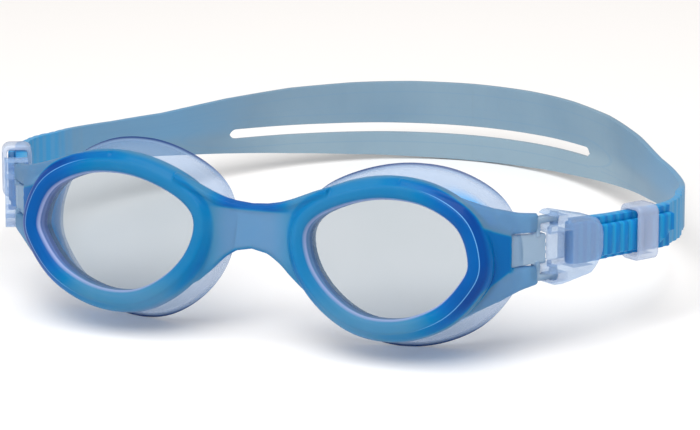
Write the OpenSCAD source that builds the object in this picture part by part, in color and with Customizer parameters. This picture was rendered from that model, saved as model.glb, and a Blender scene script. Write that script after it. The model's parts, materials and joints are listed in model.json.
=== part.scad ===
// Swim goggles: soft blue frame with clear lenses, gaskets, swinging strap buckles and a split strap.
// Units are millimetres. The lenses face -Y, the wearer's left is +X, and +Z is up.

/* [Eyes] */
// distance from the middle of the nose to the middle of each lens
eye_x = 33.3; // [31:0.1:36]
// how far the lenses lean back from the strap's plane, in degrees
lens_tilt = 8; // [0:0.5:15]
// width of the soft rim round each lens opening
rim_width = 5.4; // [4:0.1:7]
// thickness of each lens
lens_thickness = 1.8; // [1.2:0.1:3]
// distance that each gasket stands behind its rim
gasket_depth = 9; // [6:0.5:14]
// wall thickness of the gasket skirt
gasket_wall = 1.1; // [0.8:0.1:2]

/* [Stance] */
// angle that the goggles lean back when they stand on the rims and the strap, in degrees
lean = 7.42; // [0:0.01:10]
// height of the lens centres over the table before leaning
eye_height = 23.634; // [15:0.001:30]
// distance that centres the whole part front to back
centre_y = 62.92; // [50:0.01:80]

/* [Buckle] */
// sideways place of each buckle's hinge axis
pivot_x = 67.1; // [60:0.1:75]
// front to back place of each buckle's hinge axis
pivot_y = 14.9; // [10:0.1:20]
// height of the strap's middle over the lens centres
arm_z = 3.1; // [0:0.1:6]
// angle of each buckle from the sideways axis, in degrees
arm_angle = 61; // [45:1:75]
// length of the buckle behind its hinge axis
buckle_length = 11.7; // [10:0.1:16]
// thickness of the buckle
buckle_thickness = 5.6; // [5:0.1:7]
// radius of the hinge pins
pin_radius = 0.9; // [0.6:0.05:1.2]
// radial clearance of the hinge pins
pin_play = 0.05; // [0.02:0.01:0.1]

/* [Strap] */
// thickness of the strap
strap_thickness = 1.4; // [1:0.1:2.5]
// width of the strap at its ends
strap_width = 9.6; // [8:0.1:12]
// height of the slot that splits the strap at the back
slot_height = 2.4; // [2:0.1:5]
// distance between the ribs on the strap's ends
rib_pitch = 2.35; // [1.5:0.05:4]

/* [Hidden] */
$fn = 48;

soft_blue = [0.05, 0.42, 0.75];
clear_blue = [0.70, 0.78, 0.88];
strap_blue = [0.50, 0.68, 0.80];

// the egg-shaped lens opening of the wearer's left eye, nose corner at -X
LENS_OUTLINE = [[19.6, 1.5], [16.6, 8.2], [9, 12.3], [0, 13.2], [-8.5, 11.6], [-16.2, 8], [-19.2, 3.6],
    [-17.4, -3.2], [-12, -9.2], [-4.5, -12.9], [4.5, -12.8], [13, -9.1], [18.4, -3]];

ring_outer = 2.5;        // how far the carrier ring reaches past the lens opening
ring_front = -1.6;       // front of the carrier ring, from the lens plane
ring_back = 4.6;
rim_front = -2.6;
rim_back = 3.2;
lens_seat = 0.6;         // how far the lens reaches under the rim
lens_front = -0.8;
flange_grow = 5.4;       // how far the gasket's flange reaches past the lens opening
flange_taller = 1.7;     // extra reach of that flange, up and down

fork_in = 5.8;           // inner face of the carrier's fork arms, from the strap's middle
fork_out = 7.2;
fork_half = 1.1;         // half thickness of the fork arms
fork_root = 5.6;         // where the fork arms start, ahead of the hinge axis
tongue_half = 3.4;       // half height of the carrier's middle tongue
tongue_thickness = 1.8;
window_half = 3.7;       // half height of the buckle's window
window_end = 2.9;        // back of that window, from the hinge axis
buckle_inner = 2.2;      // the buckle's inner face, from the middle of the fork arms
cover = 0.7;             // thickness of the plate that covers the strap
bar_at = 5.9;            // strap bar, from the hinge axis
bar_radius = 0.5;
lever_pin_at = -1.2;     // the release lever's own pin
lever_half = 2.95;       // half height of the release lever

straight_end = 30;       // end of the straight run of the strap, from the hinge axis
turn_radius = 19;
turn_angle = 53;
cut_at = 20;             // angle into the turn at which the strap's end piece stops, in degrees
cut_angle = 3;           // angle of the gap between the strap's end piece and its back
keeper_from = 22;
keeper_length = 5.6;
keeper_wall = 1.2;
keeper_play = 0.45;
tail_offset = 2.8;       // distance between the middles of the strap's two layers
tail_step = 1.5;         // how much narrower the tail is than the strap
rib_height = 0.45;
rib_count = 6;

// a point of the strap's straight run, q mm behind the hinge axis
function on_line(q) = [pivot_x, pivot_y] + q * [cos(arm_angle), sin(arm_angle)];
// a point of the turn behind that run, a degrees into the turn
function turn_point(a) = on_line(straight_end) + turn_radius
    * [sin(arm_angle + a) - sin(arm_angle), cos(arm_angle) - cos(arm_angle + a)];

// one point of a smooth curve through four knots
function blend_knots(a, b, c, d, t) = 0.5 * (2 * b + (c - a) * t + (2 * a - 5 * b + 4 * c - d) * t * t
    + (3 * b - a - 3 * c + d) * t * t * t);
function closed_spline(p, steps) = [for (i = [0:len(p) - 1], k = [0:steps - 1])
    blend_knots(p[(i + len(p) - 1) % len(p)], p[i], p[(i + 1) % len(p)], p[(i + 2) % len(p)], k / steps)];
function open_spline(p, steps) = [for (i = [1:len(p) - 3], k = [0:steps - 1])
    blend_knots(p[i - 1], p[i], p[i + 1], p[i + 2], k / steps)];

// the closed outline of a band of the given width along an open line
function normal_at(p, i) =
    let (a = p[max(i - 1, 0)], b = p[min(i + 1, len(p) - 1)], d = (b - a) / norm(b - a)) [d[1], -d[0]];
function band(p, outer, inner) = concat([for (i = [0:len(p) - 1]) p[i] + outer * normal_at(p, i)],
    [for (i = [len(p) - 1:-1:0]) p[i] + inner * normal_at(p, i)]);

BACK_KNOTS = [[80.6, 66], [74, 78.5], [64.5, 91.5], [54.5, 104.5], [41, 117.5], [22, 128.8], [0, 133]];
function mirrored(p) = [for (i = [len(p) - 1:-1:0]) [-p[i][0], p[i][1]]];
right_turn = [for (a = [cut_at + cut_angle:5:turn_angle - 2]) turn_point(a)];
right_knots = concat([turn_point(turn_angle - 8), turn_point(turn_angle)], BACK_KNOTS);
left_knots = mirrored(right_knots);
back_curve = open_spline(concat(right_knots, [for (i = [1:len(left_knots) - 1]) left_knots[i]]), 5);
half_back = [for (p = concat(right_turn, back_curve)) if (p[0] > 0.5) p];
back_line = concat(half_back, [[0, BACK_KNOTS[6][1]]], mirrored(half_back));
end_line = concat([for (q = [bar_at, 12, 18, 24, straight_end]) on_line(q)],
    [for (a = [5:5:cut_at]) turn_point(a)]);

// seen from the front: the strap's back, wide in the middle and narrow at the sides
BACK_TOP = [[90, 4.8], [74, 4.8], [66, 5.4], [55, 7.3], [43, 8.8], [30, 9.6], [16, 10], [0, 10.1]];
BACK_BOTTOM = [[90, -4.8], [74, -4.9], [66, -5.5], [55, -6.8], [43, -8.1], [30, -9], [16, -9.5], [0, -9.7]];

module standing() {
    translate([0, -centre_y, eye_height]) rotate([-lean, 0, 0]) children();
}

// places a child drawn for the wearer's left side, which is +X, on either side
module side(right) {
    mirror([right ? 1 : 0, 0, 0]) children();
}

module at_eye() {
    translate([eye_x, 0, 0]) rotate([-lens_tilt, 0, 0]) children();
}

// x runs back along the buckle, y points in to the head and z is up
module at_arm() {
    translate([pivot_x, pivot_y, arm_z]) rotate([0, 0, arm_angle]) children();
}

// a plate with a front outline, from y = front to y = back
module plate(front, back) {
    translate([0, back, 0]) rotate([90, 0, 0]) linear_extrude(height = back - front) children();
}

module lens_shape(grow) {
    offset(r = grow) polygon(closed_spline(LENS_OUTLINE, 5));
}

module rim_shape(grow) {
    hull() {
        lens_shape(grow);
        translate([1.5, -0.2]) lens_shape(grow - 0.6);
    }
}

module ring_solid(play) {
    plate(ring_front - play, ring_back + 1) lens_shape(ring_outer + play);
}

module rim() {
    at_eye() {
        plate(rim_front, -1.4) rim_shape(rim_width - 1.6);
        plate(-1.5, rim_back) rim_shape(rim_width);
    }
}

// the soft web that narrows from the rim to the hinge, seen from the front
SHOULDER_FRONT = [[36, 18.4], [45.3, 16.9], [51.8, 14.6], [57.6, 12.6], [61.7, 11.4], [66, 10.9],
    [66, -4.5], [61.5, -6.1], [53.9, -10.9], [44.6, -15.2], [36, -18.2]];
// the middle of the same web, seen from above
SHOULDER_TOP = [[36, 1.6], [46, 1.5], [51, 2.1], [55, 3.6], [58, 5.4], [61, 7.6], [63.2, 9.6],
    [64.55, 10.75]];

module shoulder() {
    intersection() {
        plate(-6, 20) polygon(SHOULDER_FRONT);
        translate([0, 0, -30]) linear_extrude(height = 60) polygon(band(SHOULDER_TOP, 2, -1.7));
    }
}

// the notch between the web's two prongs, where the clear tongue comes out
module shoulder_notch() {
    translate([0, 0, arm_z - 4]) linear_extrude(height = 8)
        polygon([[60.4, 2], [59.6, 12], [75, 20], [75, 2]]);
}

BRIDGE_FRONT = [[0, 9.4], [5, 9.8], [10, 11.4], [16, 14.8], [20, 10], [20, -10], [13.5, -10.6], [8.6, -5.2],
    [4, -1.9], [0, -1.1]];

module bridge() {
    plate(-0.4, 2.2) polygon(concat(BRIDGE_FRONT, mirrored(BRIDGE_FRONT)));
    plate(-0.9, 2.4) polygon([[-11, 8.6], [-11, 11.4], [-5, 9.9], [0, 9.5], [5, 9.9], [11, 11.4], [11, 8.6],
        [5, 7.7], [0, 7.5], [-5, 7.7]]);
}

module soft_frame() {
    color(soft_blue) standing() difference() {
        union() {
            for (right = [false, true]) side(right) {
                rim();
                difference() {
                    shoulder();
                    shoulder_notch();
                }
            }
            bridge();
        }
        for (right = [false, true]) side(right) {
            at_eye() {
                plate(-10, 10) lens_shape(0);
                ring_solid(0);
            }
            carrier_arm(0.05);
        }
    }
}

// the middle line of the clear lug, seen from above, which ends in line with the buckle
LUG_TOP = [[52.5, 3.2], [55, 3.9], [58, 5.5], [61, 7.7], [63.2, 9.7], [64.6, 11]];

module carrier_arm(play) {
    half = tongue_thickness / 2 + play;
    intersection() {
        translate([0, 0, -30]) linear_extrude(height = 60)
            polygon(band(concat(LUG_TOP, [on_line(-3.4), on_line(-2.9)]), half, -half));
        plate(-5, 30) polygon([[52, 9], [58, arm_z + tongue_half + 0.9], [61, arm_z + tongue_half],
            [75, arm_z + tongue_half], [75, arm_z - tongue_half], [64, arm_z - tongue_half],
            [61, arm_z - tongue_half - 0.5], [58, -2], [52, -5]]);
    }
    at_arm() for (s = [-1, 1]) {
        translate([0, 0, s * (fork_in + fork_out) / 2]) {
            translate([-fork_root, -fork_half - play, -(fork_out - fork_in) / 2 - play])
                cube([fork_root, 2 * (fork_half + play), fork_out - fork_in + 2 * play]);
            translate([0, 0, -(fork_out - fork_in) / 2 - play])
                cylinder(r = fork_half + play, h = fork_out - fork_in + 2 * play);
        }
        // the post that joins the fork arm to the tongue, inside the soft prong
        translate([-fork_root, -fork_half - play, s > 0 ? tongue_half - 0.6 : -fork_out - play])
            cube([1, 2 * (fork_half + play), fork_out - tongue_half + 0.6 + play]);
    }
}

module carrier(right) {
    color(clear_blue) standing() side(right) {
        difference() {
            union() {
                at_eye() ring_solid(0);
                carrier_arm(0);
            }
            at_eye() plate(-10, 20) lens_shape(lens_seat);
        }
        at_arm() for (s = [-1, 1])
            translate([0, 0, s > 0 ? fork_in - 1 : -fork_out - 0.6])
                cylinder(r = pin_radius, h = fork_out - fork_in + 1.6);
    }
}
module carrier_left() { carrier(false); }
module carrier_right() { carrier(true); }

module lens(right) {
    color([0.8, 0.85, 0.9, 0.4]) standing() side(right) at_eye() intersection() {
        plate(lens_front - 1, lens_front + 6) lens_shape(lens_seat - 0.02);
        translate([0, lens_front + 120, -30]) difference() {
            cylinder(r = 120, h = 60, $fn = 240);
            translate([0, 0, -1]) cylinder(r = 120 - lens_thickness, h = 62, $fn = 240);
        }
    }
}
module lens_left() { lens(false); }
module lens_right() { lens(true); }

// one thin slice of the gasket, whose temple side lies further back
module gasket_slice(depth, yaw, grow, taller) {
    translate([0, depth, 0]) rotate([0, 0, yaw]) plate(0, 0.2) hull()
        for (s = [-1, 1]) translate([0, s * taller]) lens_shape(grow);
}

module gasket(right) {
    front = ring_back + 1.05;
    flange_yaw = 9;
    skirt_out = ring_outer + 1.6;
    color([0.78, 0.85, 0.93, 0.6]) standing() side(right) at_eye() {
        difference() {
            union() {
                hull() {
                    gasket_slice(front, 0, ring_outer, 0);
                    gasket_slice(front + gasket_depth - 1, flange_yaw, skirt_out, flange_taller);
                }
                hull() {
                    gasket_slice(front + gasket_depth - 1, flange_yaw, flange_grow - 0.1, flange_taller);
                    gasket_slice(front + gasket_depth, flange_yaw, flange_grow, flange_taller);
                }
            }
            hull() {
                gasket_slice(front - 0.1, 0, ring_outer - gasket_wall, 0);
                gasket_slice(front + gasket_depth + 1, flange_yaw, skirt_out - gasket_wall, flange_taller);
            }
        }
    }
}
module gasket_left() { gasket(false); }
module gasket_right() { gasket(true); }

// the buckle's outline seen from outside, x back along the strap and y up
BUCKLE_SIDE = [[-3.7, 7], [-1.6, 8.2], [0, 8.2], [4.6, 7], [9.1, 5.9], [10.2, 5.2], [11.3, 3.6],
    [buckle_length, 1.9], [buckle_length, -1.3], [11.2, -3.3], [9.8, -5.2], [8.3, -6.7], [3.7, -7.5],
    [0, -8.1], [-2.4, -8], [-3.7, -7.2]];

module buckle(right) {
    outer = buckle_thickness - buckle_inner;
    tall = strap_width + 0.8;
    color(clear_blue) standing() side(right) at_arm() {
        difference() {
            translate([0, buckle_inner, 0]) rotate([90, 0, 0])
                linear_extrude(height = buckle_thickness) polygon(BUCKLE_SIDE);
            // the window for the tongue and the lever
            translate([-10, -10, -window_half]) cube([10 + window_end, 20, 2 * window_half]);
            // the hollow that holds the strap, open to the head and to the back
            translate([window_end + 0.7, -outer + cover, -tall / 2]) cube([20, 20, tall]);
            for (s = [-1, 1]) {
                // the pocket for the fork arm
                translate([-10, -10, s * (fork_in + fork_out) / 2 - (fork_out - fork_in) / 2 - 0.25])
                    cube([10 + fork_half + 0.4, 20, fork_out - fork_in + 0.5]);
                translate([0, 0, s * fork_in - (s > 0 ? 1.4 : 2.4)])
                    cylinder(r = pin_radius + pin_play, h = 3.8);
                // the small bore for the lever's pin
                translate([lever_pin_at, 0, s > 0 ? window_half - 0.1 : -window_half - 0.9])
                    cylinder(r = 0.55, h = 1);
            }
        }
        translate([bar_at, 0, -tall / 2 - 0.1]) cylinder(r = bar_radius, h = tall + 0.2);
    }
}
module buckle_left() { buckle(false); }
module buckle_right() { buckle(true); }

module lever(right) {
    color(clear_blue) standing() side(right) at_arm() {
        translate([lever_pin_at, -0.8, -lever_half]) cube([3.7, 1.6, 2 * lever_half]);
        translate([lever_pin_at, 0, -lever_half]) cylinder(r = 0.8, h = 2 * lever_half);
        translate([lever_pin_at, 0, -window_half - 0.6]) cylinder(r = 0.5, h = 2 * (window_half + 0.6));
        for (k = [-2:2]) translate([1.7, -1.2, k * 1.1 - 0.3]) cube([0.5, 0.5, 0.6]);
    }
}
module lever_left() { lever(false); }
module lever_right() { lever(true); }

// a line moved sideways, outwards from the head
function shifted(p, out) = [for (i = [0:len(p) - 1]) p[i] + out * normal_at(p, i)];
function reversed(p) = [for (i = [len(p) - 1:-1:0]) p[i]];
function round_bar(a) = on_line(bar_at) + tail_offset / 2 * [cos(arm_angle + a), sin(arm_angle + a)];

// the line of the tail, which goes back outside the first layer
tail_line = concat([for (q = [bar_at, 10, 14, 18, 22, straight_end]) on_line(q)],
    [for (a = [5, 10]) turn_point(a)]);
// the whole end of the strap: in from the head, round the bar and back out to the tail's tip
end_path = concat(reversed(shifted(end_line, -tail_offset / 2)), [for (a = [105:15:255]) round_bar(a)],
    shifted(tail_line, tail_offset / 2));

module strap_end(right) {
    color(strap_blue) standing() side(right) {
        difference() {
            translate([0, 0, arm_z - strap_width / 2]) linear_extrude(height = strap_width)
                polygon(band(end_path, strap_thickness / 2, -strap_thickness / 2));
            // the tail is narrower than the layer behind it
            translate([0, 0, arm_z + strap_width / 2 - tail_step]) linear_extrude(height = 10)
                polygon(band(concat([on_line(buckle_length + 0.5)],
                    [for (i = [2:len(tail_line) - 1]) tail_line[i]], [turn_point(25)]), 6, 0.2));
        }
        // the ribs that the lever and the keeper hold
        at_arm() for (k = [0:rib_count - 1])
            translate([13 + k * rib_pitch, -(tail_offset + strap_thickness) / 2 - rib_height,
                -strap_width / 2 + 0.5])
                cube([rib_pitch / 2, rib_height + 0.3, strap_width - tail_step - 1]);
    }
}
module strap_end_left() { strap_end(false); }
module strap_end_right() { strap_end(true); }

module strap_back() {
    half = strap_thickness / 2;
    color(strap_blue) standing() difference() {
        intersection() {
            translate([0, 0, -30]) linear_extrude(height = 60)
                polygon(band(back_line, half - tail_offset / 2, -half - tail_offset / 2));
            translate([0, 0, arm_z]) plate(0, 200) polygon(concat(BACK_TOP, mirrored(BACK_TOP),
                reversed(mirrored(BACK_BOTTOM)), reversed(BACK_BOTTOM)));
        }
        translate([0, 0, arm_z - 2]) plate(90, 200) hull()
            for (x = [-53.3, 35.7]) translate([x, 0]) circle(r = slot_height / 2);
    }
}

module keeper(right) {
    depth = tail_offset + strap_thickness + rib_height + 2 * keeper_play;
    outer = -(tail_offset + strap_thickness) / 2 - rib_height - keeper_play - keeper_wall;
    height = strap_width + 2 * keeper_play;
    color([0.8, 0.85, 0.93]) standing() side(right) at_arm()
        translate([keeper_from, outer, -height / 2 - keeper_wall]) difference() {
            cube([keeper_length, depth + 2 * keeper_wall, height + 2 * keeper_wall]);
            translate([-1, keeper_wall, keeper_wall]) cube([keeper_length + 2, depth, height]);
        }
}
module keeper_left() { keeper(false); }
module keeper_right() { keeper(true); }

soft_frame();
carrier_left();
carrier_right();
lens_left();
lens_right();
gasket_left();
gasket_right();
buckle_left();
buckle_right();
lever_left();
lever_right();
strap_back();
strap_end_left();
strap_end_right();
keeper_left();
keeper_right();
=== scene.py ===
"""Swim goggles: soft blue frame, clear lenses and gaskets, swinging strap buckles and a split strap.

Shapes are drawn in the goggles' own design frame, in millimetres: x = 0 is the middle of the nose, y = 0 is
the lens plane with the lenses facing -Y, and z = 0 is the height of the lens centres. standing() turns that
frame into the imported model's frame, which leans back a little and is in metres."""
import json
import math

import bmesh
import bpy
from mathutils import Matrix, Vector


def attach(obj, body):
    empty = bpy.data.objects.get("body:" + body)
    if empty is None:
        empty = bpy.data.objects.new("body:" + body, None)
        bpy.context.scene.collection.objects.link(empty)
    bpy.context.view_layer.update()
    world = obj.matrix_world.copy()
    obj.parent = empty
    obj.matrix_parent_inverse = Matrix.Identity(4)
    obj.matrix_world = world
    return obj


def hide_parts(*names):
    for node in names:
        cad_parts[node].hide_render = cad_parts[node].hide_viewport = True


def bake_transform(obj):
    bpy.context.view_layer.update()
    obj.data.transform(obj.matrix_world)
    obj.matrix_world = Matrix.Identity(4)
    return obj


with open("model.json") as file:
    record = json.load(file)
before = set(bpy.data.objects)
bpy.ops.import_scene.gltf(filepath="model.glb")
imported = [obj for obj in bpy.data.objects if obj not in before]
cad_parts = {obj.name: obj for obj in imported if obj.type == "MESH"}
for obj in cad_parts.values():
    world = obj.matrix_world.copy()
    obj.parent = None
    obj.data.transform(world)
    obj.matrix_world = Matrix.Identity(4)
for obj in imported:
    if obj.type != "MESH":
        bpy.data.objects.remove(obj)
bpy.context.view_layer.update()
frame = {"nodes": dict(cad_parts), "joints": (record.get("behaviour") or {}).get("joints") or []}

MM = 0.001
SIDES = {"left": 1, "right": -1}

# ---------------------------------------------------------------- the design frame

# the hinge axis of the wearer's left buckle: its place from above, its height and where the buckle points
PIVOT = Vector((67.1, 14.9))
ARM_Z = 3.1
ARM_ANGLE = math.radians(61)
# the lens centres, and how far each lens plane leans about its sideways axis
EYE_X = 33.3
LENS_TILT = math.radians(8)


def stand_matrix():
    """The design frame as it stands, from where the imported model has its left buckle's hinge."""
    swing = next(j for j in frame["joints"] if j["name"] == "buckle_left_swing")
    lean = math.atan2(swing["axis"][1], swing["axis"][2])
    turn = Matrix.Rotation(-lean, 4, "X")
    hinge = turn @ Vector((PIVOT.x, PIVOT.y, ARM_Z))
    return Matrix.Translation(Vector(swing["pos_m"]) / MM - hinge) @ turn


STAND = stand_matrix()
UNSTAND = STAND.inverted()


def standing(point):
    """A design point, in millimetres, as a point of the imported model, in metres."""
    return (STAND @ Vector(point)) * MM


def design(point):
    """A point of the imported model, in metres, as a design point, in millimetres."""
    return UNSTAND @ (Vector(point) / MM)


def at_eye(u, depth, v):
    """A point that is placed from the wearer's left lens centre: u sideways, depth back and v up."""
    c, s = math.cos(LENS_TILT), math.sin(LENS_TILT)
    return Vector((EYE_X + u, depth * c + v * s, -depth * s + v * c))


def arm_point(back, inward, up):
    """A point that is placed from the left hinge axis: back along the buckle, inward to the head and up."""
    c, s = math.cos(ARM_ANGLE), math.sin(ARM_ANGLE)
    return Vector((PIVOT.x + back * c - inward * s, PIVOT.y + back * s + inward * c, ARM_Z + up))


# ---------------------------------------------------------------- curves

def between(a, b, c, d, t):
    """A point of the smooth curve through four knots, between b and c."""
    return 0.5 * (2 * b + (c - a) * t + (2 * a - 5 * b + 4 * c - d) * t * t
                  + (3 * b - a - 3 * c + d) * t * t * t)


def closed_curve(knots, steps):
    """The smooth closed curve through knots, with steps points from each knot to the next."""
    n = len(knots)
    knots = [Vector(k) for k in knots]
    return [between(knots[i - 1], knots[i], knots[(i + 1) % n], knots[(i + 2) % n], k / steps)
            for i in range(n) for k in range(steps)]


def resampled(points, spacing):
    """The same line with its points at an even spacing."""
    total = [0.0]
    for a, b in zip(points, points[1:]):
        total.append(total[-1] + (b - a).length)
    count = max(2, round(total[-1] / spacing))
    result = []
    j = 0
    for i in range(count + 1):
        want = total[-1] * i / count
        while j < len(points) - 2 and total[j + 1] < want:
            j += 1
        t = (want - total[j]) / (total[j + 1] - total[j])
        result.append(points[j].lerp(points[j + 1], t))
    return result


def normals(points, closed=False):
    """Unit normals of a plane line, on its right-hand side."""
    n = len(points)
    result = []
    for i in range(n):
        before = points[i - 1] if closed or i > 0 else points[0]
        after = points[(i + 1) % n] if closed or i < n - 1 else points[-1]
        d = (after - before).normalized()
        result.append(Vector((d.y, -d.x)))
    return result


def along(table, x):
    """Straight-line reading of a table of (x, value) rows that rise in x."""
    if x <= table[0][0]:
        return table[0][1]
    for (x0, v0), (x1, v1) in zip(table, table[1:]):
        if x <= x1:
            return v0 + (v1 - v0) * (x - x0) / (x1 - x0)
    return table[-1][1]


def smoothstep(low, high, x):
    """Rises smoothly from 0 at low to 1 at high; it falls instead where low is the larger."""
    t = min(max((x - low) / (high - low), 0.0), 1.0)
    return t * t * (3 - 2 * t)


# ---------------------------------------------------------------- meshes

class Shape:
    """Vertices in the design frame and the faces between them."""

    def __init__(self):
        self.points = []
        self.faces = []

    def add(self, points, faces, right=False):
        """Takes in points and faces, mirrored to the wearer's right if asked."""
        start = len(self.points)
        self.points += [Vector((-p[0], p[1], p[2])) if right else Vector(p) for p in points]
        self.faces += [[start + i for i in (reversed(f) if right else f)] for f in faces]

    def add_shape(self, other, right=False):
        self.add(other.points, other.faces, right)

    def add_mesh(self, mesh):
        """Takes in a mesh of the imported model."""
        points = [design(v.co) for v in mesh.vertices]
        self.add(points, [list(p.vertices) for p in mesh.polygons])


def tube_faces(rings, size, closed):
    """Faces of a sweep of rings, each of size points; an open sweep gets its two end caps."""
    faces = []
    for i in range(rings if closed else rings - 1):
        a, b = i * size, (i + 1) % rings * size
        for j in range(size):
            k = (j + 1) % size
            faces.append([a + j, a + k, b + k, b + j])
    if not closed:
        faces.append(list(range(size - 1, -1, -1)))
        faces.append([(rings - 1) * size + j for j in range(size)])
    return faces


def loft(shape, rings, closed=False, right=False):
    """Adds a skin through rings of points that all have one size."""
    points = [p for ring in rings for p in ring]
    shape.add(points, tube_faces(len(rings), len(rings[0]), closed), right)


# edges that bend more than this stay crisp
SHARP = math.radians(55)


def build(name, shape, material):
    """A Blender object from a shape, with its normals outwards."""
    mesh = bpy.data.meshes.new(name)
    mesh.from_pydata([standing(p) for p in shape.points], [], shape.faces)
    work = bmesh.new()
    work.from_mesh(mesh)
    bmesh.ops.remove_doubles(work, verts=work.verts, dist=1e-6)
    bmesh.ops.recalc_face_normals(work, faces=work.faces)
    work.to_mesh(mesh)
    work.free()
    mesh.polygons.foreach_set("use_smooth", [True] * len(mesh.polygons))
    mesh.set_sharp_from_angle(angle=SHARP)
    if material:
        mesh.materials.append(material)
    piece = bpy.data.objects.new(name, mesh)
    bpy.context.scene.collection.objects.link(piece)
    return piece


def apply_modifiers(piece):
    """Turns what the modifiers make into the piece's own smooth-shaded mesh."""
    graph = bpy.context.evaluated_depsgraph_get()
    mesh = bpy.data.meshes.new_from_object(piece.evaluated_get(graph))
    piece.modifiers.clear()
    piece.data = mesh
    mesh.polygons.foreach_set("use_smooth", [True] * len(mesh.polygons))
    return piece


def melted(name, shape, material, voxel, rounds):
    """Overlapping solids joined into one moulding with softly rounded edges."""
    piece = build(name, shape, material)
    join = piece.modifiers.new("join", "REMESH")
    join.mode = "VOXEL"
    join.voxel_size = voxel * MM
    soften = piece.modifiers.new("soften", "SMOOTH")
    soften.factor = 0.5
    soften.iterations = rounds
    return apply_modifiers(piece)


def carved(shape, cutter):
    """The shape with the cutter's space taken out of it."""
    body, tool = build("uncut", shape, None), build("cutter", cutter, None)
    cut = body.modifiers.new("cut", "BOOLEAN")
    cut.object = tool
    cut.solver = "EXACT"
    apply_modifiers(body)
    result = Shape()
    result.add_mesh(body.data)
    for item in (body, tool):
        bpy.data.objects.remove(item)
    return result


def mark(piece, name, value):
    """Stores value(design point) on every vertex, for the material to read."""
    attribute = piece.data.attributes.new(name, "FLOAT", "POINT")
    attribute.data.foreach_set("value", [value(design(v.co)) for v in piece.data.vertices])


def settle(piece, body, slot, *nodes):
    """Joins a finished piece to its body if it has just one, and hides the CAD parts that it replaces."""
    if body:
        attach(piece, body)
    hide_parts(*nodes)


# ---------------------------------------------------------------- materials

GRAIN_HEIGHT = 0.0002


def node_material(name):
    """A material with an empty node tree, and that tree's nodes and links."""
    material = bpy.data.materials.new(name)
    material.use_nodes = True
    nodes = material.node_tree.nodes
    nodes.clear()
    return material, nodes, material.node_tree.links


def principled(nodes, **values):
    """A Principled shader with its sockets set; an underscore stands for a space in a socket's name."""
    shader = nodes.new("ShaderNodeBsdfPrincipled")
    for key, value in values.items():
        shader.inputs[key.replace("_", " ")].default_value = value
    return shader


def noise(nodes, links, scale, detail):
    """Soft noise through the piece, as a value about 0.5."""
    place = nodes.new("ShaderNodeTexCoord")
    texture = nodes.new("ShaderNodeTexNoise")
    texture.inputs["Scale"].default_value = scale
    texture.inputs["Detail"].default_value = detail
    links.new(place.outputs["Object"], texture.inputs["Vector"])
    return texture.outputs["Fac"]


def ramp(nodes, links, source, stops):
    """A colour ramp over source; stops are (position, colour) rows."""
    node = nodes.new("ShaderNodeValToRGB")
    links.new(source, node.inputs["Fac"])
    elements = node.color_ramp.elements
    while len(elements) < len(stops):
        elements.new(0.5)
    for element, (position, colour) in zip(elements, stops):
        element.position = position
        element.color = (*colour, 1)
    return node.outputs["Color"]


def grained(nodes, links, shader, scale, strength):
    """Gives a shader a fine grain, like the face of a mould."""
    node = nodes.new("ShaderNodeBump")
    node.inputs["Strength"].default_value = strength
    node.inputs["Distance"].default_value = GRAIN_HEIGHT
    links.new(noise(nodes, links, scale, 2), node.inputs["Height"])
    links.new(node.outputs["Normal"], shader.inputs["Normal"])


def read_mark(nodes, name):
    """The value that mark() stored under this name."""
    node = nodes.new("ShaderNodeAttribute")
    node.attribute_name = name
    return node.outputs["Fac"]


def calculate(nodes, links, operation, a, b=0):
    """A Math node on two values, each a number or a socket."""
    node = nodes.new("ShaderNodeMath")
    node.operation = operation
    for socket, value in zip(node.inputs, (a, b)):
        if isinstance(value, (int, float)):
            socket.default_value = value
        else:
            links.new(value, socket)
    return node.outputs[0]


def mix_shaders(nodes, links, factor, first, second):
    """The first shader where the factor is 0 and the second where it is 1."""
    node = nodes.new("ShaderNodeMixShader")
    if isinstance(factor, (int, float)):
        node.inputs["Fac"].default_value = factor
    else:
        links.new(factor, node.inputs["Fac"])
    links.new(first, node.inputs[1])
    links.new(second, node.inputs[2])
    return node.outputs[0]


def see_through(nodes, colour):
    """A clear shader that bends no light."""
    node = nodes.new("ShaderNodeBsdfTransparent")
    node.inputs["Color"].default_value = (*colour, 1)
    return node


def glossed(nodes, links, body, roughness, colour):
    """A clear body with reflections: few face on and more at a glancing angle, on both of its faces."""
    facing = nodes.new("ShaderNodeLayerWeight")
    facing.inputs["Blend"].default_value = 0.5
    glancing = calculate(nodes, links, "POWER", facing.outputs["Facing"], 4)
    share = calculate(nodes, links, "MULTIPLY_ADD", glancing, 0.55)
    share.node.inputs[2].default_value = 0.02
    gloss = nodes.new("ShaderNodeBsdfGlossy")
    gloss.inputs["Roughness"].default_value = roughness
    gloss.inputs["Color"].default_value = (*colour, 1)
    return mix_shaders(nodes, links, share, body, gloss.outputs[0])


def finish_material(nodes, links, shader):
    """Ends the node tree with this shader as the surface."""
    output = nodes.new("ShaderNodeOutputMaterial")
    links.new(shader, output.inputs["Surface"])


def clouded(nodes, links, name, scale, amount):
    """A mark with soft noise added, so that the colour drifts over the surface."""
    centred = calculate(nodes, links, "SUBTRACT", noise(nodes, links, scale, 4), 0.5)
    drift = calculate(nodes, links, "MULTIPLY", centred, amount)
    return calculate(nodes, links, "ADD", read_mark(nodes, name), drift)


def peak(nodes, links, source, centre, width):
    """1 where the source is at the centre, falling to 0 a width away."""
    gap = calculate(nodes, links, "ABSOLUTE", calculate(nodes, links, "SUBTRACT", source, centre))
    share = calculate(nodes, links, "SUBTRACT", 1, calculate(nodes, links, "DIVIDE", gap, width))
    return calculate(nodes, links, "MAXIMUM", share)


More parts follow.
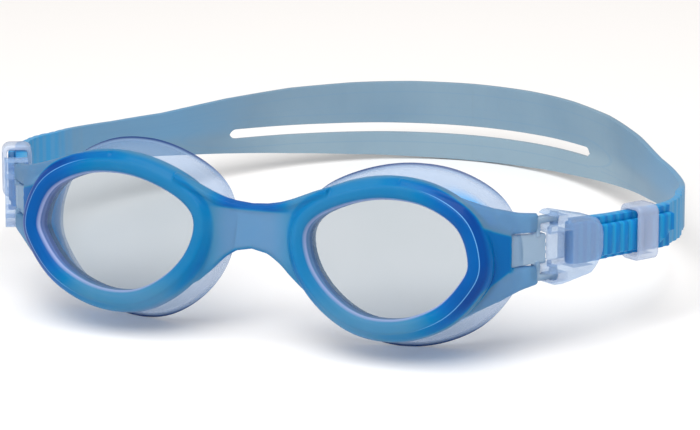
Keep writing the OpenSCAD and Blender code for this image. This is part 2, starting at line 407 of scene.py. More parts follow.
def tinted(nodes, links, colour, share, tint):
    """The colour, turned to tint where the share is 1."""
    node = nodes.new("ShaderNodeMix")
    node.data_type = "RGBA"
    links.new(share, node.inputs["Factor"])
    links.new(colour, node.inputs["A"])
    node.inputs["B"].default_value = (*tint, 1)
    return node.outputs["Result"]


def frame_rubber():
    """Glossy translucent blue rubber, deeper in colour where the moulding is thick, with a painted highlight
    on the lip round each opening and along the rim's crease.
    """
    material, nodes, links = node_material("frame_rubber")
    level = clouded(nodes, links, "deep", 60, 0.22)
    colour = ramp(nodes, links, level, [
        (0.0, (0.19, 0.33, 0.50)), (0.3, (0.065, 0.27, 0.46)), (0.55, (0.0, 0.19, 0.45)),
        (0.78, (0.0, 0.115, 0.40)), (1.0, (0.0, 0.05, 0.26))])
    out = read_mark(nodes, "out")
    # painted highlights: a pale lip round the opening, with painted light on the shaded wall behind it, and a
    # line along the crease
    for name, place, width, tint in (("lip", LIP_AT, 0.55, (0.45, 0.52, 0.82)),
                                     ("crease", CREASE_AT, 0.12, (0.16, 0.46, 0.86))):
        near = peak(nodes, links, out, place, width)
        share = calculate(nodes, links, "MULTIPLY", near, read_mark(nodes, name))
        colour = tinted(nodes, links, colour, share, tint)
    shader = principled(
        nodes, Roughness=0.34, IOR=1.40, Specular_IOR_Level=0.14, Subsurface_Weight=0.1,
        Subsurface_Scale=0.002, Subsurface_Radius=(0.25, 0.6, 1.0), Coat_Weight=0.05, Coat_Roughness=0.05)
    links.new(colour, shader.inputs["Base Color"])
    grained(nodes, links, shader, 900, 0.10)
    thinness = calculate(nodes, links, "SUBTRACT", 1, read_mark(nodes, "deep"))
    clear_share = calculate(nodes, links, "MULTIPLY", thinness, 0.42)
    clear = see_through(nodes, (0.35, 0.62, 0.92)).outputs[0]
    finish_material(nodes, links, mix_shaders(nodes, links, clear_share, shader.outputs[0], clear))
    return material


def clear_plastic(name, tint, body_colour, cloudy, roughness, grain):
    """Clear moulded plastic: see-through with a tint, part milky, with bright reflections."""
    material, nodes, links = node_material(name)
    streak = noise(nodes, links, 60, 4)
    darker = tuple(0.88 * c for c in body_colour)
    shader = principled(nodes, Roughness=roughness, IOR=1.5)
    links.new(ramp(nodes, links, streak, [(0.3, darker), (0.7, body_colour)]), shader.inputs["Base Color"])
    grained(nodes, links, shader, 700, grain)
    body = mix_shaders(nodes, links, cloudy, see_through(nodes, tint).outputs[0], shader.outputs[0])
    finish_material(nodes, links, glossed(nodes, links, body, roughness * 0.6, body_colour))
    return material


def gasket_rubber():
    """Clear soft rubber, blue beside the frame, with a dark line of painted shade round the flange's thin
    edge, standing in for the dark outline of a clear edge.
    """
    material, nodes, links = node_material("gasket_clear")
    edge, root = read_mark(nodes, "edge"), read_mark(nodes, "root")
    # towards 1 the edge mark turns the colour near black, as painted shade for the dark outline of the
    # flange's thin clear edge
    colour = ramp(nodes, links, edge, [
        (0.0, (0.38, 0.53, 0.74)), (0.5, (0.28, 0.42, 0.64)), (1.0, (0.02, 0.06, 0.20))])
    shader = principled(nodes, Roughness=0.22, IOR=1.42)
    links.new(tinted(nodes, links, colour, root, (0.02, 0.42, 0.95)), shader.inputs["Base Color"])
    grained(nodes, links, shader, 500, 0.06)
    marked = calculate(nodes, links, "MULTIPLY", calculate(nodes, links, "ADD", edge, root), 0.62)
    solid = calculate(nodes, links, "ADD", marked, 0.26)
    clear = see_through(nodes, (0.84, 0.88, 0.94)).outputs[0]
    finish_material(nodes, links, mix_shaders(nodes, links, solid, clear, shader.outputs[0]))
    return material


def lens_glass():
    """Clear polished polycarbonate, thin enough to bend no light."""
    material, nodes, links = node_material("lens_clear")
    haze = noise(nodes, links, 35, 3)
    colour = ramp(nodes, links, haze, [(0.3, (0.75, 0.785, 0.81)), (0.7, (0.77, 0.80, 0.825))])
    clear = see_through(nodes, (1, 1, 1))
    links.new(colour, clear.inputs["Color"])
    finish_material(nodes, links, glossed(nodes, links, clear.outputs[0], 0.03, (0.9, 0.93, 1.0)))
    return material


def strap_rubber():
    """Satin translucent blue rubber, saturated in the tail and pale in the thin main layer, with painted
    shade towards the turns and along its fine ridges.
    """
    material, nodes, links = node_material("strap_rubber")
    level = clouded(nodes, links, "deep", 45, 0.12)
    colour = ramp(nodes, links, level, [
        (0.0, (0.26, 0.37, 0.45)), (0.12, (0.17, 0.28, 0.385)), (0.38, (0.09, 0.30, 0.54)),
        (0.7, (0.0, 0.29, 0.62)), (1.0, (0.0, 0.18, 0.50))])
    shader = principled(
        nodes, Roughness=0.42, IOR=1.40, Specular_IOR_Level=0.35, Subsurface_Weight=0.1,
        Subsurface_Scale=0.002, Subsurface_Radius=(0.4, 0.8, 1.0))
    # a line of painted shade along each fine contour stands in for the shading of its small raised ridge
    ridge_shade_line = peak(nodes, links, read_mark(nodes, "contour"), 0, 0.20)
    share = calculate(nodes, links, "MULTIPLY", ridge_shade_line, 0.28)
    links.new(tinted(nodes, links, colour, share, (0.12, 0.27, 0.44)), shader.inputs["Base Color"])
    grained(nodes, links, shader, 1400, 0.10)
    finish_material(nodes, links, shader.outputs[0])
    return material


def floor_material():
    material, nodes, links = node_material("white_floor")
    shader = principled(nodes, Roughness=0.9, Base_Color=(0.93, 0.925, 0.92, 1))
    finish_material(nodes, links, shader.outputs[0])
    return material


# ---------------------------------------------------------------- lens outline

# the egg-shaped lens opening of the wearer's left eye, with its nose corner at -x
LENS_KNOTS = [(19.6, 1.5), (16.6, 8.2), (9, 12.3), (0, 13.2), (-8.5, 11.6), (-16.2, 8), (-19.2, 3.6),
              (-17.4, -3.2), (-12, -9.2), (-4.5, -12.9), (4.5, -12.8), (13, -9.1), (18.4, -3)]
LENS = closed_curve(LENS_KNOTS, 10)
LENS_OUT = normals(LENS, True)


def ring_round(profile):
    """Rings of a closed sweep round the lens; profile(point, outward) gives a ring of (out, depth, rise)."""
    rings = []
    for point, outward in zip(LENS, LENS_OUT):
        rings.append([at_eye(point.x + out * outward.x, depth, point.y + out * outward.y + rise)
                      for out, depth, rise in profile(point, outward)])
    return rings


# ---------------------------------------------------------------- soft frame

# (out from the opening, depth) round the rim's section, with a crease in its front face
RIM_PROFILE = [(0.05, 2.6), (0.0, -0.6), (0.15, -1.4), (0.55, -2.1), (1.2, -2.5), (2.2, -2.6), (3.1, -2.5),
               (3.5, -2.05), (4.4, -1.3), (5.1, -0.2), (5.4, 1.2), (5.1, 2.6), (4.3, 3.3), (2.7, 3.5)]
# how far out from the opening the lip and the crease lie, which both get painted highlights
LIP_AT = 0.1
CREASE_AT = 3.35


def rim_profile(point, outward):
    """The rim's section, which is the same all round."""
    return [(out, depth, 0) for out, depth in RIM_PROFILE]


def opening_plug(grow):
    """A block with the lens outline's shape, from before the rim to behind it."""
    plug = Shape()
    loft(plug, [[at_eye(p.x + grow * n.x, depth, p.y + grow * n.y) for p, n in zip(LENS, LENS_OUT)]
                for depth in (-8, 8)])
    return plug


# the soft web between the rim and the hinge, seen from the front: x, top z, bottom z
WEB = [(34, 18.3, -18.4), (36, 18.4, -18.2), (45.3, 16.9, -15.2), (51.8, 14.6, -11.9), (57.6, 12.6, -8.7),
       (61.7, 11.4, -6.1), (65.6, 10.9, -4.6)]
WEB_TOP = [(x, top) for x, top, bottom in WEB]
WEB_BOTTOM = [(x, bottom) for x, top, bottom in WEB]
# the middle of the same web, seen from above
WEB_DEPTH = [(34, 1.7), (46, 1.5), (51, 2.1), (55, 3.6), (58, 5.4), (61, 7.6), (63.2, 9.6), (64.9, 11.2)]
WEB_FROM = 36
WEB_STEP = 0.8
WEB_HALF = 1.75
# the shape of the web's section: a power of 1 is an ellipse, and less is squarer
WEB_POWER = 0.55
# the webs and the bridge start this far outside the lens opening
WEB_CLEARANCE = 2.5
BRIDGE_CLEARANCE = 1.5
# the web ends in two prongs, above and below the clear tongue: where they start and their inner edges
PRONG_FROM = 57.5
PRONG_HALF = 1.55
PRONG_EDGES = ((6.8, WEB_TOP), (-0.7, WEB_BOTTOM))


def web_section(x, low, high, half):
    """One rounded upright section of the web, between two heights."""
    depth = along(WEB_DEPTH, x)
    slope = along(WEB_DEPTH, x + 0.5) - along(WEB_DEPTH, x - 0.5)
    across = Vector((slope, -1)).normalized()
    ring = []
    for k in range(16):
        angle = 2 * math.pi * k / 16
        up = math.copysign(abs(math.sin(angle)) ** WEB_POWER, math.sin(angle))
        out = half * math.copysign(abs(math.cos(angle)) ** WEB_POWER, math.cos(angle))
        z = (low + high) / 2 + (high - low) / 2 * up
        ring.append(Vector((x + out * across.x, depth + out * across.y, z)))
    return ring


def add_web(shape, right):
    """The web on one side, cut clear of the lens opening, with its two prongs."""
    web = Shape()
    spread = [WEB_FROM + WEB_STEP * k for k in range(31)]
    loft(web, [web_section(x, along(WEB_BOTTOM, x), along(WEB_TOP, x), WEB_HALF) for x in spread])
    shape.add_shape(carved(web, opening_plug(WEB_CLEARANCE)), right)
    tips = [PRONG_FROM + WEB_STEP * k for k in range(10)]
    for inner, table in PRONG_EDGES:
        rings = [web_section(x, *sorted((inner, along(table, x))), PRONG_HALF) for x in tips]
        loft(shape, rings, right=right)


# the nose bridge, seen from the front: x, top z, bottom z
BRIDGE = [(-19, 15.0, -11.8), (-16, 13.9, -11.2), (-13.5, 12.9, -9.9), (-10, 11.4, -6.9), (-7, 10.4, -3.9),
          (-4, 9.8, -1.9), (0, 9.5, -1.1)]
BRIDGE += [(-x, top, bottom) for x, top, bottom in reversed(BRIDGE[:-1])]
BRIDGE_REACH = 19
BRIDGE_TOP = [(x, top) for x, top, bottom in BRIDGE]
BRIDGE_BOTTOM = [(x, bottom) for x, top, bottom in BRIDGE]


def bridge_section(x):
    """A flat section with a thicker roll along its top edge."""
    top, bottom = along(BRIDGE_TOP, x), along(BRIDGE_BOTTOM, x)
    middle = (top + bottom) / 2
    front, back, roll = -0.35, 2.1, 0.55
    return [Vector((x, y, z)) for y, z in (
        (back + roll * 0.4, top - 0.5), (0.9, top), (front - roll, top - 0.5), (front - roll, top - 1.4),
        (front, top - 2.2), (front - 0.1, middle), (front, bottom + 0.9), (front + 0.4, bottom + 0.2),
        (0.9, bottom), (back - 0.4, bottom + 0.2), (back, bottom + 0.9), (back + 0.1, middle),
        (back, top - 2.2), (back + roll * 0.4, top - 1.4))]


# the leaf-shaped panel beside the rim on the temple side, seen from the front: x, z
LEAF_TOP = [(45, 12), (51.6, 10.7), (57.6, 7.8), (61, 6.6)]
LEAF_BOTTOM = [(45, -13), (47.8, -12.2), (55.1, -6.4), (60.4, -1.7)]


def bridge_deepness(p):
    """The bridge is thin and pale between two deep edges."""
    at_top = smoothstep(7.7, 8.7, p.z)
    at_bottom = 1 - smoothstep(-0.3, 1.2, p.z - along(BRIDGE_BOTTOM, abs(p.x)))
    return 0.10 + 0.75 * min(at_top + at_bottom, 1)


def rim_deepness(p, out, u):
    """The rim is deepest on the temple side and by the bridge, and paler low down and at its outer edge."""
    temple = 0.36 * smoothstep(5, 17, u) + 0.14 * smoothstep(3.2, 3.6, out) * smoothstep(-4, 4, u)
    nose = 0.16 * smoothstep(12, 16, -u) * smoothstep(2, 5, out)
    pale = 0.22 * smoothstep(-6, -14, p.z) + 0.28 * smoothstep(4.5, 5.5, out)
    return 0.50 + temple + nose - pale


def shoulder_deepness(p):
    """The shoulder is pale but for the leaf-shaped panel."""
    x = abs(p.x)
    under_top = smoothstep(-0.4, 0.5, along(LEAF_TOP, x) - p.z)
    over_bottom = smoothstep(-0.4, 0.5, p.z - along(LEAF_BOTTOM, x))
    return 0.10 + 0.66 * under_top * over_bottom * smoothstep(61.5, 60.5, x)


def deepness(p):
    """How thick and saturated the soft frame is at a point: 0 is thin and pale, 1 is deep."""
    x = abs(p.x)
    out, u, _ = lens_distance(p)
    bridge = 1 - smoothstep(4.5, 12, x)
    web = smoothstep(4.9, 5.4, out) * smoothstep(36, 42, x)
    value = rim_deepness(p, out, u) * (1 - web) + shoulder_deepness(p) * web
    return value * (1 - bridge) + bridge_deepness(p) * bridge


def lip_painted_light_share(p):
    """1 on the front bevel round the lens, where a painted highlight makes the lip pale, and a little on the
    wall behind it, where painted light lifts its shade.
    """
    depth = lens_distance(p)[2]
    return smoothstep(-0.6, -1.4, depth) + 0.4 * smoothstep(-1.0, -0.3, depth)


def crease_painted_highlight_share(p):
    """How much painted highlight the crease on the rim's face gets: most on the temple side."""
    _, u, depth = lens_distance(p)
    return smoothstep(6, 15, u) * smoothstep(2.0, 0.0, depth)


def segment_distance(p, a, b):
    """How far a point is from the straight line between a and b."""
    along_it = min(max((p - a).dot(b - a) / (b - a).length_squared, 0), 1)
    return (p - a.lerp(b, along_it)).length


def lens_distance(p):
    """How far a point is outside the nearest lens opening, to the temple side of that lens, and behind it."""
    c, s = math.cos(LENS_TILT), math.sin(LENS_TILT)
    u = abs(p.x) - EYE_X
    here = Vector((u, p.y * s + p.z * c))
    # every third point finds the right stretch of the outline, and the segments on it give the distance
    n = len(LENS)
    index = min(range(0, n, 3), key=lambda i: (LENS[i] - here).length_squared)
    near = min(segment_distance(here, LENS[i % n], LENS[(i + 1) % n]) for i in range(index - 3, index + 3))
    inside = (here - LENS[index]).dot(LENS_OUT[index]) < 0
    return (-near if inside else near), u, p.y * c - p.z * s


def soft_frame(material):
    """Rims, webs and bridge, melted into one moulding, with the marks that its material reads."""
    shape = Shape()
    for right in (False, True):
        loft(shape, ring_round(rim_profile), closed=True, right=right)
        add_web(shape, right)
    bridge = Shape()
    loft(bridge, [bridge_section(BRIDGE_REACH * (k / 20 - 1)) for k in range(41)])
    for right in (False, True):
        plug = Shape()
        plug.add_shape(opening_plug(BRIDGE_CLEARANCE), right)
        bridge = carved(bridge, plug)
    shape.add_shape(bridge)
    piece = melted("soft_frame_moulding", shape, material, 0.3, 5)
    mark(piece, "deep", deepness)
    mark(piece, "out", lambda p: lens_distance(p)[0])
    # where the painted highlight of the lip and the painted light on its wall go
    mark(piece, "lip", lip_painted_light_share)
    # where the painted highlight along the crease goes
    mark(piece, "crease", crease_painted_highlight_share)
    settle(piece, "goggles", "frame_rubber", "soft_frame")


# ---------------------------------------------------------------- gaskets

# the skirt starts this far behind the lens plane and reaches back this far
SKIRT_FRONT = 4.4
SKIRT_DEPTH = 9.3
# the flange slants back to the temple, and is this much taller than the skirt at its top and bottom
FLANGE_YAW = math.radians(9)
FLANGE_TALLER = 1.7
# (out, part of the depth) round the skirt's and flange's section
GASKET_PROFILE = [(1.5, 0.0), (2.3, 0.0), (2.5, 0.25), (2.9, 0.55), (3.4, 0.8), (3.95, 0.905), (4.9, 0.925),
                  (5.7, 0.955), (5.95, 0.98), (5.75, 1.0), (4.8, 0.985), (3.6, 0.965), (2.9, 0.86),
                  (2.2, 0.6), (1.7, 0.3)]


def gasket_ring(point, outward):
    """The gasket's section at one point of the lens outline."""
    ring = []
    lift = outward.y / math.sqrt(outward.y ** 2 + 0.15)
    for out, part in GASKET_PROFILE:
        slant = math.tan(FLANGE_YAW) * (point.x + out * outward.x) * part
        ring.append((out, SKIRT_FRONT + SKIRT_DEPTH * part + slant, FLANGE_TALLER * lift * part))
    return ring


def eye_depth(p):
    """How far behind the lens plane of its eye a point is, with the flange's slant taken out."""
    c, s = math.cos(LENS_TILT), math.sin(LENS_TILT)
    return p.y * c - p.z * s - math.tan(FLANGE_YAW) * (abs(p.x) - EYE_X)


def flange_edge_shade(p):
    """1 along the flange's thin outer edge, where the material paints a dark line of shade."""
    out = lens_distance(p)[0]
    taller = FLANGE_TALLER * min(1.0, abs(p.z) / 8)
    return smoothstep(5.0, 5.7, out - taller * 0.9)


def skirt_root(p):
    """1 on the front of the skirt, beside the frame, on the temple side."""
    return smoothstep(9.2, 8.2, eye_depth(p)) * smoothstep(-7, 4, lens_distance(p)[1])


def gasket(side, material):
    """One gasket: a skirt that flares into the flange that seals on the face."""
    shape = Shape()
    loft(shape, ring_round(gasket_ring), closed=True, right=side == "right")
    piece = build("gasket_skirt_" + side, shape, material)
    # the edge mark places the painted shade line round the flange
    mark(piece, "edge", flange_edge_shade)
    mark(piece, "root", skirt_root)
    settle(piece, "goggles", "gasket_clear", "gasket_" + side)


# ---------------------------------------------------------------- lenses

LENS_SEAT = 0.55
LENS_THICKNESS = 1.8
LENS_FRONT = -0.8
LENS_BEND = 240
# the rings that fill each face, as parts of the outline's size, and the rounded edge outside them
LENS_ROWS = [1.0, 0.985, 0.9, 0.7, 0.45, 0.2]
LENS_EDGE = 1.006
LENS_ROUND = 0.25


def lens_sheet(depth, scale):
    """A ring of the lens at a depth behind its front, with the lens outline's shape."""
    ring = []
    for point, outward in zip(LENS, LENS_OUT):
        u = (point.x + LENS_SEAT * outward.x) * scale
        v = (point.y + LENS_SEAT * outward.y) * scale
        ring.append(at_eye(u, LENS_FRONT + depth + u * u / LENS_BEND, v))
    return ring


def lens(side, material):
    """A curved lens with a rounded edge, filled in rings towards its middle."""
    rings = [lens_sheet(0, scale) for scale in reversed(LENS_ROWS)]
    rings += [lens_sheet(depth, LENS_EDGE) for depth in (LENS_ROUND, LENS_THICKNESS - LENS_ROUND)]
    rings += [lens_sheet(LENS_THICKNESS, scale) for scale in LENS_ROWS]
    shape = Shape()
    loft(shape, rings, right=side == "right")
    piece = build("lens_pane_" + side, shape, material)
    settle(piece, "goggles", "lens_clear", "lens_" + side)


# ---------------------------------------------------------------- strap

STRAP_THICKNESS = 1.4
# from the hinge axis the strap runs straight along the buckle, turns and goes round the back of the head
STRAIGHT_END = 30
TURN_RADIUS = 19
TURN_ANGLE = 53
BACK_KNOTS = [(80.6, 66), (74, 78.5), (64.5, 91.5), (54.5, 104.5), (41, 117.5), (22, 128.8), (0, 133)]
BACK_FROM = 90
# the two layers lie this far apart, middle to middle, and fold round the buckle's bar
LAYER_SPACING = 2.8
BAR_AT = 5.9
RIB_PITCH = 2.35
# the main layer is built up by this much beside the tail, so that the two lie on each other
LAYER_FILL = 1.2
# the half height at the buckle's bar, and the tail's bottom and top past it
BAR_HALF = 4.7
TAIL_LOW = -3.9
TAIL_HIGH = 3.3
# height of the strap's top and bottom edges over its middle, by distance from the nose's plane
STRAP_TOP = [(0, 10.1), (16, 10.0), (30, 9.6), (43, 8.8), (55, 7.3), (66, 5.4), (74, 4.8), (90, 4.8)]
STRAP_BOTTOM = [(0, -9.7), (16, -9.5), (30, -9.0), (43, -8.1), (55, -6.8), (66, -5.5), (74, -4.9), (90, -4.8)]
SLOT_LEFT = 35.7
SLOT_RIGHT = -53.3
SLOT_Z = -2.0
SLOT_HALF = 1.2
# the split parts the strap in two bands, each with this many strips of faces and rounded free edges
BAND_ROWS = 12
EDGE_ROUND = 0.35


def arm_line(back):
    """A place on the line of the buckle, seen from above."""
    p = arm_point(back, 0, 0)
    return Vector((p.x, p.y))


def turn_point(degrees):
    """A place on the strap's turn, seen from above."""
    a = math.radians(degrees)
    start = arm_line(STRAIGHT_END)
    return start + TURN_RADIUS * Vector((math.sin(ARM_ANGLE + a) - math.sin(ARM_ANGLE),
                                         math.cos(ARM_ANGLE) - math.cos(ARM_ANGLE + a)))


def lead_points(last_degrees):
    """The line that both layers share, from the buckle's bar into the turn, seen from above."""
    straight = [arm_line(q) for q in (BAR_AT, 10, 14, 18, 22, STRAIGHT_END)]
    return straight + [turn_point(a) for a in range(5, last_degrees + 1, 5)]


def strap_line():
    """The middle line of the strap's main layer on the left, from the bar to the middle of the back."""
    knots = [turn_point(45), turn_point(TURN_ANGLE)] + [Vector(k) for k in BACK_KNOTS]
    knots.append(Vector((-knots[-2].x, knots[-2].y)))
    back = []
    for i in range(1, len(knots) - 2):
        back += [between(*knots[i - 1:i + 3], k / 6) for k in range(6)]
    points = resampled(lead_points(50) + back + [Vector(BACK_KNOTS[-1])], 0.45)
    outward = normals(points)
    outward[-1] = Vector((0, 1))
    # the main layer lies just inside the line that both layers share
    return [p - n * LAYER_SPACING / 2 for p, n in zip(points, outward)], outward


def slot_half(x, y):
    """Half the height of the slot at a place on the strap, seen from above."""
    end = min(SLOT_LEFT - x, x - SLOT_RIGHT)
    if end <= -SLOT_HALF or y <= BACK_FROM:
        return 0.0
    if end >= 0:
        return SLOT_HALF
    return math.sqrt(SLOT_HALF ** 2 - end ** 2)


def band_rows(low, high, round_low, round_high):
    """Heights across a band of strap, with how far the surface draws in at each to round the free edges."""
    rows = []
    for k in range(BAND_ROWS + 1):
        t = k / BAND_ROWS
        eased = 0.5 - 0.5 * math.cos(math.pi * t)
        edge = min(t if round_low else 1, 1 - t if round_high else 1)
        drawn_in = EDGE_ROUND * (1 - min(edge / 0.12, 1)) ** 2
        rows.append((low + (high - low) * eased, drawn_in))
    return rows


def rib_wave(q):
    """1 on a rib and 0 between ribs, at a distance from the hinge axis."""
    return smoothstep(-0.35, 0.25, math.sin(2 * math.pi * q / RIB_PITCH))


def strap_bands(p, sign):
    """The lower and the upper band at a place: bottom, top, and whether each of these edges is free."""
    top = ARM_Z + along(STRAP_TOP, p.x)
    bottom = ARM_Z + along(STRAP_BOTTOM, p.x)
    gap = slot_half(p.x * sign, p.y)
    middle = ARM_Z + SLOT_Z if p.y > 60 else (top + bottom) / 2
    return (bottom, middle - gap, True, gap > 0), (middle + gap, top, gap > 0, True)


def strap_fill(p):
    """How much the main layer's outer face is built up at a place: beside the tail, and on its own ribs."""
    q = (p - arm_line(0)).length
    beside_tail = smoothstep(BAR_AT + 3, BAR_AT + 6, q) * smoothstep(36, 33, q)
    ribbed = smoothstep(9, 12, q) * smoothstep(52, 46, q)
    return LAYER_FILL * beside_tail + 0.25 * rib_wave(q) * ribbed


def strap_faces(open_columns):
    """Faces between neighbouring columns of points; open_columns says where the slot is open."""
    band = (BAND_ROWS + 1) * 2
    last = 2 * BAND_ROWS
    faces = []
    for i in range(len(open_columns) - 1):
        slot_here = open_columns[i] or open_columns[i + 1]
        for upper in (0, 1):
            start = (2 * i + upper) * band
            after = start + 2 * band
            for o in range(0, last, 2):
                faces.append([start + o, start + o + 2, after + o + 2, after + o])
                faces.append([start + o + 1, after + o + 1, after + o + 3, start + o + 3])
            # the strap's own edges are always closed, and the slot's edges where it is open
            if slot_here or not upper:
                faces.append([start, after, after + 1, start + 1])
            if slot_here or upper:
                faces.append([start + last, start + last + 1, after + last + 1, after + last])
    for i in (0, len(open_columns) - 1):
        for upper in (0, 1):
            start = (2 * i + upper) * band
            faces += [[o, o + 1, o + 3, o + 2] for o in range(start, start + last, 2)]
    return faces


def add_main_layer(shape, side):
    """The main layer from the buckle's bar to the middle of the back, in two bands that the slot parts."""
    sign = SIDES[side]
    line, outward = strap_line()
    points = []
    for p, n in zip(line, outward):
        fill = strap_fill(p)
        for low, high, round_low, round_high in strap_bands(p, sign):
            for z, drawn_in in band_rows(low, high, round_low, round_high):
                half = STRAP_THICKNESS / 2 - drawn_in
                points += [Vector((p.x + n.x * out, p.y + n.y * out, z)) for out in (half + fill, -half)]
    open_columns = [slot_half(p.x * sign, p.y) > 0 for p in line]
    shape.add(points, strap_faces(open_columns), side == "right")


def tail_path():
    """Along the tail, round the bar and back: (place, outward direction, rib height, top, bottom)."""
    path = []
    for degrees in range(90, 271, 15):
        angle = ARM_ANGLE + math.radians(degrees)
        out = Vector((math.cos(angle), math.sin(angle)))
        path.append((arm_line(BAR_AT) + out * LAYER_SPACING / 2, out, 0, BAR_HALF, -BAR_HALF))
    lead = resampled(lead_points(10), 0.3)
    for i, (p, n) in enumerate(zip(lead, normals(lead))):
        q = (p - arm_line(0)).length
        rib = 0.42 * rib_wave(q) if q > 9 else 0
        end = smoothstep(len(lead) - 18, len(lead) - 1, i)
        narrow = smoothstep(9, 13, q)
        top = BAR_HALF + (TAIL_HIGH - BAR_HALF) * narrow
        bottom = -BAR_HALF + (TAIL_LOW + BAR_HALF) * narrow + 3.0 * end
        path.append((p + n * LAYER_SPACING / 2, n, rib, top, bottom))
    return path


def add_tail(shape, right):
    """The ribbed free end: round the buckle's bar and back outside the main layer."""
    half = STRAP_THICKNESS / 2
    rings = []
    for centre, out, rib, top, bottom in tail_path():
        section = ((half + rib, 0.86), (half + rib, 0.0), (half + rib, -0.86), (half * 0.8, -0.97), (0, -1.0),
                   (-half * 0.8, -0.97), (-half, -0.9), (-half, 0.9), (-half * 0.8, 0.97), (0, 1.0),
                   (half * 0.8, 0.97))
        rings.append([Vector((centre.x + out.x * away, centre.y + out.y * away,
                              ARM_Z + (top + bottom) / 2 + (top - bottom) / 2 * height))
                      for away, height in section])
    loft(shape, rings, right=right)


def contour_gap(p):
    """Distance to the nearest fine contour line, where a line of painted shade stands in for a small raised
    ridge: an oval round each end of the slot and one along the top.
    """
    if p.y < 70:
        return 5.0
    level = p.z - ARM_Z - SLOT_Z
    gaps = [p.z - ARM_Z - along(STRAP_TOP, abs(p.x)) + 2.6]
    for end, way in ((SLOT_LEFT, 1), (SLOT_RIGHT, -1)):
        past = (p.x - end) * way
        gaps.append((math.hypot(max(past + 6, 0) / 15, level / 3.6) - 1) * 3.6)
    return min(gaps, key=abs)


# the ends' deep colour fades over this stretch along the buckle's line
FADE_FROM = 42
FADE_TO = 52


def strap_deepness(p):
    """How deep the strap's colour is: deep in the tail, paler in the main layer, and on the back deeper
    towards the turns as painted shade.
    """
    here = Vector((abs(p.x), p.y)) - arm_line(0)
    c, s = math.cos(ARM_ANGLE), math.sin(ARM_ANGLE)
    back = here.x * c + here.y * s
    inward = -here.x * s + here.y * c
    if back > FADE_TO or inward > 16:
        # on the back the colour is a little deeper in the upper half, and painted shade deepens it towards
        # each turn
        return 0.08 * smoothstep(-3.5, 0.5, p.z - ARM_Z) + 0.16 * smoothstep(38, 70, abs(p.x))
    rib = rib_wave(here.length)
    bend = max(0.0, back - STRAIGHT_END) ** 2 / (2 * TURN_RADIUS)
    if inward - bend < 0.05:
        return 0.66 + 0.34 * rib
    near_end = 1 - smoothstep(FADE_FROM, FADE_TO, back)
    return 0.2 + (0.26 + 0.12 * rib) * near_end


def strap_half(side, material):
    """Half of the strap, from the middle of the back to its tail."""
    shape = Shape()
    add_main_layer(shape, side)
    add_tail(shape, side == "right")
    piece = build("strap_" + side, shape, material)
    mark(piece, "deep", strap_deepness)
    mark(piece, "contour", contour_gap)
    settle(piece, None, "strap_rubber", "strap_back", "strap_end_" + side)
    swung = arm_point(STRAIGHT_END - 1, 0, 0)
    swung.x *= SIDES[side]
    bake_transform(piece)


# ---------------------------------------------------------------- clear plastic parts

def moulded_copy(name, node, material, voxel, rounds):
    """A CAD part as a moulding with rounded edges."""
    shape = Shape()
    shape.add_mesh(frame["nodes"][node].data)
    return melted(name, shape, material, voxel, rounds)


def hard_parts(side, carrier_look, buckle_look):
    """The carrier, the buckle and its lever: part, body, slot, look, voxel and rounds of softening."""
    for part, body, slot, look, voxel, rounds in (
            ("carrier", "goggles", "clear_carrier", carrier_look, 0.22, 3),
            ("buckle", f"buckle_{side}_body", "buckle_clear", buckle_look, 0.14, 4),
            ("lever", f"lever_{side}_body", "buckle_clear", buckle_look, 0.1, 2)):
        piece = moulded_copy(f"{part}_moulding_{side}", f"{part}_{side}", look, voxel, rounds)
        settle(piece, body, slot, f"{part}_{side}")


# the keeper's loop: where it starts along the strap, its length and wall, and its faces from the strap's line
KEEPER_FROM = 22
KEEPER_LENGTH = 5.6
KEEPER_WALL = 1.2
KEEPER_INWARD = 3.2
KEEPER_OUTWARD = 4.0
KEEPER_HALF = 6.3
KEEPER_CORNER = 1.9
KEEPER_SINK = 0.35


def keeper_outline():
    """(point, outward normal) pairs round the loop, looking along the strap: x is inward and y is up."""
    inner, outer = KEEPER_INWARD - KEEPER_CORNER, KEEPER_CORNER - KEEPER_OUTWARD
    high = KEEPER_HALF - KEEPER_CORNER
    outline = []
    for x, y, start in ((inner, high, 0), (outer, high, 90), (outer, -high, 180), (inner, -high, 270)):
        for degrees in range(start, start + 91, 15):
            normal = Vector((math.cos(math.radians(degrees)), math.sin(math.radians(degrees))))
            outline.append((Vector((x, y)) + KEEPER_CORNER * normal, normal))
        if start in (90, 270):
            # the upright bar that follows this corner
            side_x, normal = outline[-1][0].x, outline[-1][1]
            outline += [(Vector((side_x, y * (1 - k / 5))), normal) for k in range(1, 10)]
    return outline


def keeper_section(sunk):
    """(back, rise) points of the loop's wall; the middle of its outer face is sunk by this much."""
    end = KEEPER_LENGTH
    return [(0, -1), (0, -0.25), (0.3, 0), (1.2, 0), (1.45, -sunk), (4.15, -sunk), (4.4, 0), (end - 0.3, 0),
            (end, -0.25), (end, -0.95), (end - 0.3, -KEEPER_WALL), (0.3, -KEEPER_WALL)]


def keeper(side, material):
    """A rounded loop round both layers of the strap, with a sunk panel in its outer bar."""
    panel_end = KEEPER_HALF - KEEPER_CORNER - 0.2
    rings = []
    for point, normal in keeper_outline():
        on_panel = smoothstep(panel_end, panel_end - 1, abs(point.y)) if normal.x < -0.9 else 0
        ring = []
        for back, rise in keeper_section(KEEPER_SINK * on_panel):
            place = point + normal * rise
            ring.append(arm_point(KEEPER_FROM + back, place.x, place.y))
        rings.append(ring)
    shape = Shape()
    loft(shape, rings, closed=True, right=side == "right")
    piece = build("keeper_loop_" + side, shape, material)
    settle(piece, f"keeper_{side}_body", "keeper_clear", "keeper_" + side)


# ---------------------------------------------------------------- studio

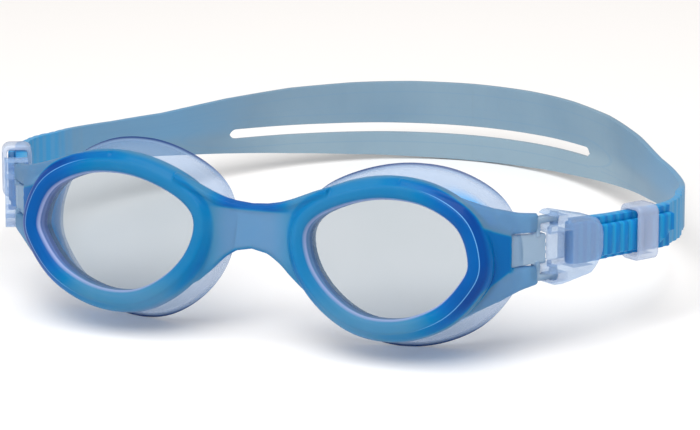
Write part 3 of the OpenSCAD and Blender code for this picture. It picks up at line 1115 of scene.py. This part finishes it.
# the camera in the design frame: it looks at its target from the wearer's left front, a little from above
CAMERA_AZIMUTH = math.radians(24)
CAMERA_ELEVATION = math.radians(13)
CAMERA_DISTANCE = 900
CAMERA_TARGET = Vector((20.07, 9.775, 6.704))


def camera():
    """A long lens at the camera's place, turned with the design frame."""
    level = math.cos(CAMERA_ELEVATION)
    sideways, forwards = math.sin(CAMERA_AZIMUTH), math.cos(CAMERA_AZIMUTH)
    back = Vector((sideways * level, -forwards * level, math.sin(CAMERA_ELEVATION)))
    right = Vector((forwards, sideways, 0))
    turn = STAND.to_3x3()
    axes = Matrix((turn @ right, turn @ back.cross(right), turn @ back)).transposed()
    data = bpy.data.cameras.new("camera")
    data.sensor_width = 36
    data.lens = 206
    data.clip_start = 0.01
    data.clip_end = 20
    item = bpy.data.objects.new("camera", data)
    item.matrix_world = Matrix.Translation(standing(CAMERA_TARGET + back * CAMERA_DISTANCE)) @ axes.to_4x4()
    bpy.context.scene.collection.objects.link(item)
    bpy.context.scene.camera = item


def soft_light(name, place, size, power, colour):
    """A square area light that faces the goggles."""
    data = bpy.data.lights.new(name, "AREA")
    data.size = size
    data.energy = power
    data.color = colour
    item = bpy.data.objects.new(name, data)
    item.location = place
    aim = Vector((0, 0, 0.02))
    item.rotation_euler = (aim - Vector(place)).to_track_quat("-Z", "Y").to_euler()
    bpy.context.scene.collection.objects.link(item)


def floor():
    """A wide white floor, which is no part of the goggles."""
    mesh = bpy.data.meshes.new("floor")
    reach = 3.0
    corners = [(-reach, -reach, 0), (reach, -reach, 0), (reach, reach, 0), (-reach, reach, 0)]
    mesh.from_pydata(corners, [], [(0, 1, 2, 3)])
    mesh.materials.append(floor_material())
    item = bpy.data.objects.new("floor", mesh)
    bpy.context.scene.collection.objects.link(item)


def studio():
    """White floor, a pale warm surround, and two soft lights from the front."""
    floor()
    world = bpy.data.worlds.new("studio")
    world.use_nodes = True
    background = world.node_tree.nodes["Background"]
    background.inputs["Color"].default_value = (1.0, 0.955, 0.92, 1)
    background.inputs["Strength"].default_value = 0.62
    bpy.context.scene.world = world
    soft_light("overhead", (0.05, -0.27, 0.60), 0.55, 3.6, (0.98, 0.985, 0.99))
    soft_light("front_left", (-0.45, -0.65, 0.45), 0.3, 0.8, (1, 1, 1))
    bpy.context.scene.view_settings.view_transform = "Standard"


def main():
    camera()
    studio()
    soft_frame(frame_rubber())
    carrier_look = clear_plastic("clear_carrier", (0.88, 0.93, 0.98), (0.24, 0.40, 0.58), 0.60, 0.18, 0.05)
    buckle_look = clear_plastic("buckle_clear", (0.92, 0.96, 1.0), (0.40, 0.58, 0.84), 0.34, 0.28, 0.15)
    keeper_look = clear_plastic("keeper_clear", (0.93, 0.96, 1.0), (0.58, 0.67, 0.84), 0.40, 0.32, 0.1)
    gasket_look, lens_look, strap_look = gasket_rubber(), lens_glass(), strap_rubber()
    for side in SIDES:
        lens(side, lens_look)
        gasket(side, gasket_look)
        hard_parts(side, carrier_look, buckle_look)
        keeper(side, keeper_look)
        strap_half(side, strap_look)


main()
